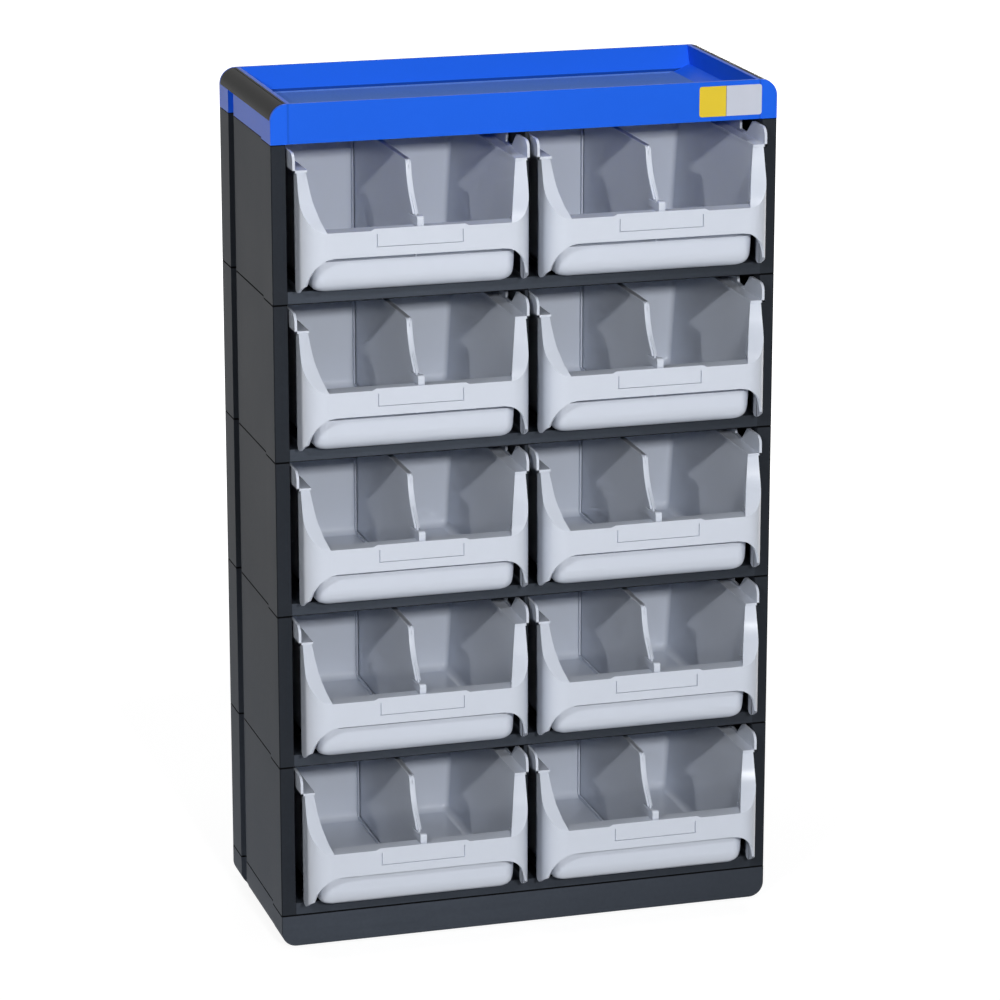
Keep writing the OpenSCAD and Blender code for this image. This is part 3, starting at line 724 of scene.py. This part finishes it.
def rim_parts(bm, s):
    """Outward ledges and upright plates along both sides."""
    sunk, notch_floor, notch_slant = 0.0008, 0.002, 0.0125
    back_round, end_round, foot_round, front_round = 0.003, 0.0015, 0.001, 0.007
    front, back = -s.column_lead, s.rim_back
    under, level, top = s.tub_top - s.wall, s.tub_top + PROUD, s.rim_top
    step = s.tub_top + notch_floor
    ledge = [(front, under), (back, under), (back, level), (front, level)]
    plate = [(front, under), (back, under), (back, top), (s.notch_end, top), (s.notch_end, step),
             (s.notch_start + notch_slant, step), (s.notch_start, top), (front, top)]
    rounds = {2: back_round, 3: end_round, 4: foot_round, 5: foot_round, 6: end_round, 7: front_round}
    for side in (-1, 1):
        outer = side * s.rim_half
        side_solid(bm, ledge, side * (s.head_half - sunk), outer)
        side_solid(bm, plate, outer - side * s.wall, outer, rounds)


def flange_webs(bm, s):
    """Small webs that tie the flanges of the front to the tub."""
    lead, wall = 0.004, 0.0018
    back = -s.flange_back - lead
    profile = [(back - wall, s.skin_low), (back, s.skin_low), (back, s.ledge_height),
               (back - wall, s.ledge_height)]
    for side in (-1, 1):
        side_solid(bm, profile, side * (s.foot_half + s.wall / 2), side * (s.skin_half - s.wall / 2))


def label_lip(bm, s):
    """Low lip on the ledge, above the label field."""
    sunk, slope, wall = 0.0025, 0.003, 0.0018
    front = -s.skin_front - PROUD
    ledge, reach = s.ledge_height, s.lip_half
    low, high = ledge - sunk, ledge + s.lip_rise
    solid(bm, [(-reach, front, low), (reach, front, low), (reach, front, ledge),
               (reach - slope, front, high), (slope - reach, front, high), (-reach, front, ledge)],
          (0, wall, 0))


def on_front(s, face):
    """Whether a face lies in the front plane of the skin."""
    return face.normal.y < -0.99 and abs(face.calc_center_median().y + s.skin_front) < 1e-5


def field_grooves(bm, s):
    """Sink fine grooves into the skin, at the label field's sides and foot."""
    width, depth, foot_share, top_margin = 0.0009, 0.0017, 0.6, 0.0012
    half = width / 2
    top = s.ledge_height - top_margin
    foot = s.ledge_height - s.field_height
    below = foot - width * foot_share
    cuts = [((side * s.field_half + step, 0, 0), (1, 0, 0)) for side in (-1, 1) for step in (-half, half)]
    cuts += [((0, 0, z), UP) for z in (foot, below, top)]
    for point, normal in cuts:
        faces = [f for f in bm.faces if on_front(s, f)]
        edges = list({e for f in faces for e in f.edges})
        verts = list({v for f in faces for v in f.verts})
        bmesh.ops.bisect_plane(bm, geom=verts + edges + faces, dist=CUT_REACH, plane_co=point,
                               plane_no=normal)
    sunk = []
    for face in bm.faces:
        centre = face.calc_center_median()
        x, z = abs(centre.x), centre.z
        upright = abs(x - s.field_half) < half and foot < z < top
        level = x < s.field_half + half and below < z < foot
        if on_front(s, face) and (upright or level):
            sunk.append(face)
    extrude(bm, sunk, (0, depth, 0))
    bmesh.ops.delete(bm, geom=[f for f in sunk if f.is_valid], context="FACES")


def holder_ribs(bm, s, offset):
    """Pairs of ribs on the floor and the back wall that hold the divider."""
    gap, wall, reach, height = 0.0013, 0.0012, 0.004, 0.005
    front, low, sunk, below_top = -0.006, 0.001, 0.0005, 0.004
    inner_round, front_round = 0.001, 0.002
    back, top = s.inner_back + sunk, s.tub_top - below_top
    profile = [(front, low), (back, low), (back, top), (s.inner_back - reach, top),
               (s.inner_back - reach, height), (front, height)]
    for side in (-1, 1):
        inner = offset + side * gap
        side_solid(bm, profile, inner, inner + side * wall, {3: inner_round, 5: front_round})


def bin_mesh(s, offset):
    """The whole bin in its own frame."""
    bm = bmesh.new()
    front = walled(front_sheet(s), s.wall)
    field_grooves(front, s)
    merge_in(bm, walled(tub_sheet(s), s.wall))
    merge_in(bm, front)
    rim_parts(bm, s)
    flange_webs(bm, s)
    label_lip(bm, s)
    holder_ribs(bm, s, offset)
    return finished_mesh(bm, "bin")


def divider_mesh(s, offset):
    """A divider with its front bead and the foot on the bin's ledge."""
    play, above_tub, foot_height = 0.0003, 0.0008, 0.008
    half_wall, half_bead, half_foot = 0.0008, 0.00225, 0.00265
    top = s.tub_top + above_tub
    ledge = s.ledge_height + play
    foot_top = ledge + foot_height
    low, front, back = s.wall + play, play - s.inner_front, s.inner_back - play
    bend, crown = (-0.003, top - 0.018), (0.0, top)
    bm = bmesh.new()

    back_round = 0.004
    panel = [(front, low), (back, low), (back, top), crown, bend, (front, foot_top)]
    side_solid(bm, panel, offset - half_wall, offset + half_wall, {0: s.belly, 1: back_round}, segments=8)

    bead_front, bead_rear, bead_low = -0.0205, -0.0165, foot_top - 0.001
    inner_bend, inner_crown = (0.0, top - 0.0185), (0.0022, top - 0.0015)
    bead_end = back - 0.003
    bend_round, crown_round, inner_round = 0.012, 0.004, 0.01
    bead = [(bead_front, bead_low), bend, crown, (bead_end, top), (bead_end, inner_crown[1]), inner_crown,
            inner_bend, (bead_rear, bead_low)]
    side_solid(bm, bead, offset - half_bead, offset + half_bead,
               {2: crown_round, 1: bend_round, 6: inner_round}, segments=5)

    tip_gap, tip_length, tip_round, heel_round = 0.0026, 0.0065, 0.002, 0.0015
    foot_end, foot_wall = -0.0095, 0.002
    tip = tip_gap - s.skin_front
    heel, neck = tip + tip_length, foot_top - foot_wall
    foot = [(tip, ledge), (tip, foot_top), (heel, foot_top), (heel, neck), (foot_end, neck),
            (foot_end, ledge)]
    side_solid(bm, foot, offset - half_foot, offset + half_foot, {1: tip_round, 2: heel_round}, segments=3)
    return finished_mesh(bm, "divider")


# How far the dividers stand to the right of the bins' centres
DIVIDER_OFFSET = 0.0012


def place_in_bins(sizes, pattern, kind, part):
    """Put a copy of a mesh in each bin's place, riding on the bin's body."""
    for name in BIN_NAMES:
        low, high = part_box(name)
        origin = Vector(((low.x + high.x) / 2, low.y + PROUD + sizes.skin_front, low.z))
        mesh = pattern.copy()
        mesh.transform(Matrix.Translation(origin))
        node = name.replace("bin", kind)
        soften(place_piece(f"{node}_{part}", mesh, f"{name}_body", kind, node), sizes.edge_round)
    bpy.data.meshes.remove(pattern)


class CABINET_OT_bins(bpy.types.Operator):
    """Make the bins, each riding on its own body"""
    bl_idname = "parts_bin_cabinet.bins"
    bl_label = "Bins"

    def execute(self, context):
        sizes = context.scene.cabinet_bin_sizes
        place_in_bins(sizes, bin_mesh(sizes, DIVIDER_OFFSET), "bin", "shell")
        return {"FINISHED"}


class CABINET_OT_dividers(bpy.types.Operator):
    """Make the divider of each bin"""
    bl_idname = "parts_bin_cabinet.dividers"
    bl_label = "Dividers"

    def execute(self, context):
        sizes = context.scene.cabinet_bin_sizes
        place_in_bins(sizes, divider_mesh(sizes, DIVIDER_OFFSET), "divider", "panel")
        return {"FINISHED"}


# ----------------------------------------------------- frames, tray and trim


def softened_copy(node, name, slot, width, segments=2):
    """A copy of a CAD node with joined faces and rounded edges, standing for it."""
    bm = bmesh.new()
    bm.from_mesh(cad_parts[node].data)
    bmesh.ops.remove_doubles(bm, verts=bm.verts, dist=WELD)
    bmesh.ops.dissolve_limit(bm, angle_limit=FLAT_ANGLE, verts=bm.verts, edges=bm.edges)
    # Convex faces give the same surface in whichever way they are cut into triangles
    bmesh.ops.connect_verts_concave(bm, faces=bm.faces)
    soften(place_piece(name, finished_mesh(bm, name), "cabinet", slot, node), width, segments)


class CABINET_OT_tiers(bpy.types.Operator):
    """Round the edges of the tier frames and the plinth"""
    bl_idname = "parts_bin_cabinet.tiers"
    bl_label = "Tier frames and plinth"

    def execute(self, context):
        width = context.scene.cabinet_finishes.edge_round
        for tier in range(1, TIERS + 1):
            softened_copy(f"tier_frame_{tier}", f"tier_{tier}_moulding", "frame", width)
        softened_copy("base_plinth", "plinth_moulding", "frame", width)
        return {"FINISHED"}


class CABINET_OT_tray(bpy.types.Operator):
    """Round the edges of the top tray, its grips and its label plate"""
    bl_idname = "parts_bin_cabinet.tray"
    bl_label = "Top tray"

    def execute(self, context):
        width = context.scene.cabinet_finishes.edge_round
        tray_share, label_round = 1.4, 0.0001
        softened_copy("top_tray", "tray_moulding", "tray", width * tray_share, segments=3)
        for side in SIDES:
            softened_copy(f"edge_grip_{side}", f"grip_{side}_moulding", "grip", width)
        softened_copy("tray_label", "label_plate", "label", label_round, segments=1)
        return {"FINISHED"}


class CABINET_OT_feet(bpy.types.Operator):
    """Round the edges of the foot pads"""
    bl_idname = "parts_bin_cabinet.feet"
    bl_label = "Feet"

    def execute(self, context):
        pad_round = 0.0003
        for end in ("front", "back"):
            for side in SIDES:
                softened_copy(f"foot_{end}_{side}", f"pad_{end}_{side}", "foot", pad_round)
        return {"FINISHED"}


class CABINET_OT_finishes(bpy.types.Operator):
    """Mix the plastics, the rubber and the printed film"""
    bl_idname = "parts_bin_cabinet.finishes"
    bl_label = "Finishes"

    def execute(self, context):
        finishes = context.scene.cabinet_finishes
        MATERIALS.clear()
        MATERIALS["frame"] = frame_plastic(finishes)
        MATERIALS["tray"] = tray_plastic(finishes)
        MATERIALS["bin"] = moulded_plastic("bin_plastic", finishes.bin_colour, roughness=0.21,
                                           grain=700.0, depth=0.000008, patch=0.012)
        MATERIALS["divider"] = moulded_plastic("divider_plastic", finishes.bin_colour, roughness=0.25,
                                               grain=700.0, depth=0.000008, patch=0.012)
        MATERIALS["grip"] = moulded_plastic("grip_plastic", finishes.grip_colour, roughness=0.42,
                                            grain=900.0, depth=0.00005, patch=0.12, specular=0.03)
        MATERIALS["foot"] = moulded_plastic("foot_rubber", finishes.foot_colour, roughness=0.7,
                                            grain=500.0, depth=0.0001, patch=0.15)
        MATERIALS["label"] = label_film(finishes)
        return {"FINISHED"}


# --------------------------------------------------------------------- stage


# Each lamp's place, the point that it looks at, its size and the setting of its power
LAMPS = {
    "key_light": ((-0.12, -3.2, 1.42), (0.0, 0.0, 0.36), (0.15, 0.15), "key_power"),
    "side_light": ((-2.15, -2.9, 2.0), (0.0, 0.0, 0.36), (0.12, 0.12), "side_power"),
    "back_light": ((0.9, 3.0, 0.4), (0.0, 0.0, 0.3), (1.6, 0.5), "back_power"),
    "top_light": ((0.0, -0.2, 2.8), (0.0, 0.0, 0.6), (1.2, 0.8), "top_power"),
}
ROOM_TINT = (0.96, 0.98, 1.0)
# Half the floor's width, and how far the floor lies under the feet
FLOOR_REACH, FLOOR_GAP = 30.0, 0.0005


def studio_floor(settings):
    """A pale floor that is seen nearly white, keeps the shadow and fades to plain white."""
    finish = Finish("studio_floor")
    finish.set(Base_Color=finish.blend(finish.noise(scale=3.0), shade(WHITE, 0.62), shade(WHITE, 0.64)),
               Roughness=0.8)
    white = finish.node("ShaderNodeEmission", inputs={"Color": shade(WHITE), "Strength": settings.floor_glow})
    away = finish.node("ShaderNodeVectorMath", 1, settings={"operation": "LENGTH"}, inputs={0: finish.place})
    fade = finish.maths("MAXIMUM", away * 0.5 - 0.3, 0.0)
    share = finish.maths("MINIMUM", fade + settings.floor_white, 1.0)
    mixed = finish.node("ShaderNodeMixShader", inputs={
        0: finish.seen() * share, 1: Signal(finish.tree, finish.shader.outputs[0]), 2: white})
    finish.feed(finish.tree.nodes["Material Output"].inputs["Surface"], mixed)
    return finish.material


def room(settings):
    """Even light from all round, seen as plain white."""
    world = bpy.data.worlds.new("room")
    bpy.context.scene.world = world
    world.use_nodes = True
    world.node_tree.nodes.clear()
    nodes = Nodes(world.node_tree)
    even = nodes.node("ShaderNodeBackground",
                      inputs={"Color": shade(ROOM_TINT), "Strength": settings.world_light})
    white = nodes.node("ShaderNodeBackground", inputs={"Color": shade(WHITE), "Strength": 1.0})
    mixed = nodes.node("ShaderNodeMixShader", inputs={0: nodes.seen(), 1: even, 2: white})
    nodes.feed(nodes.tree.nodes.new("ShaderNodeOutputWorld").inputs["Surface"], mixed)


def look_along(obj, ahead):
    """Turn a lamp or the camera to look along a vector."""
    obj.rotation_euler = ahead.to_track_quat("-Z", "Y").to_euler()


def lamp(name, place, aim, size, watts):
    """A rectangular soft light that looks at a point."""
    data = bpy.data.lights.new(name, "AREA")
    data.shape = "RECTANGLE"
    data.size, data.size_y = size
    data.energy = watts
    obj = add_object(name, data)
    obj.location = place
    look_along(obj, Vector(aim) - Vector(place))


def studio_camera(settings):
    """The camera, from its place, its two turns and its lens."""
    yaw, pitch = settings.camera_yaw, settings.camera_pitch
    data = bpy.data.cameras.new("camera")
    data.sensor_width = 36.0
    data.lens = settings.lens
    data.clip_start = 0.05
    data.clip_end = 100.0
    camera = add_object("camera", data)
    camera.location = settings.camera_place
    look_along(camera, Vector((math.sin(yaw) * math.cos(pitch), math.cos(yaw) * math.cos(pitch),
                               math.sin(pitch))))
    return camera


class CABINET_OT_stage(bpy.types.Operator):
    """Set up the floor, the lights and the camera"""
    bl_idname = "parts_bin_cabinet.stage"
    bl_label = "Stage"

    def execute(self, context):
        settings = context.scene.cabinet_stage
        bm = bmesh.new()
        bmesh.ops.create_grid(bm, x_segments=1, y_segments=1, size=FLOOR_REACH)
        floor = add_object("studio_floor", finished_mesh(bm, "studio_floor"))
        floor.data.materials.append(studio_floor(settings))
        floor.location.z = -FLOOR_GAP
        room(settings)
        for name, (place, aim, size, watts) in LAMPS.items():
            lamp(name, place, aim, size, getattr(settings, watts))
        context.scene.camera = studio_camera(settings)
        context.scene.view_settings.view_transform = "Standard"
        return {"FINISHED"}


GROUPS = {"cabinet_bin_sizes": CabinetBinSizes, "cabinet_finishes": CabinetFinishes,
          "cabinet_stage": CabinetStage}
OPERATORS = (CABINET_OT_finishes, CABINET_OT_tiers, CABINET_OT_tray, CABINET_OT_feet,
             CABINET_OT_bins, CABINET_OT_dividers, CABINET_OT_stage)


class CABINET_PT_panel(bpy.types.Panel):
    """Lists the cabinet's steps and sizes"""
    bl_idname = "CABINET_PT_panel"
    bl_label = "Parts Bin Cabinet"
    bl_space_type = "VIEW_3D"
    bl_region_type = "UI"
    bl_category = "Bin Cabinet"

    def draw(self, context):
        for operator in OPERATORS:
            self.layout.operator(operator.bl_idname)
        for name in GROUPS:
            group = getattr(context.scene, name)
            box = self.layout.box()
            for key in group.bl_rna.properties.keys():
                if key not in ("rna_type", "name"):
                    box.prop(group, key)


def register():
    for group in GROUPS.values():
        bpy.utils.register_class(group)
    for key, group in GROUPS.items():
        setattr(bpy.types.Scene, key, PointerProperty(type=group))
    for operator in OPERATORS:
        bpy.utils.register_class(operator)
    bpy.utils.register_class(CABINET_PT_panel)


def unregister():
    bpy.utils.unregister_class(CABINET_PT_panel)
    for operator in reversed(OPERATORS):
        bpy.utils.unregister_class(operator)
    for key in GROUPS:
        delattr(bpy.types.Scene, key)
    for group in reversed(list(GROUPS.values())):
        bpy.utils.unregister_class(group)


def main():
    register()
    for operator in OPERATORS:
        group, step = operator.bl_idname.split(".")
        getattr(getattr(bpy.ops, group), step)()


if __name__ == "__main__":
    main()
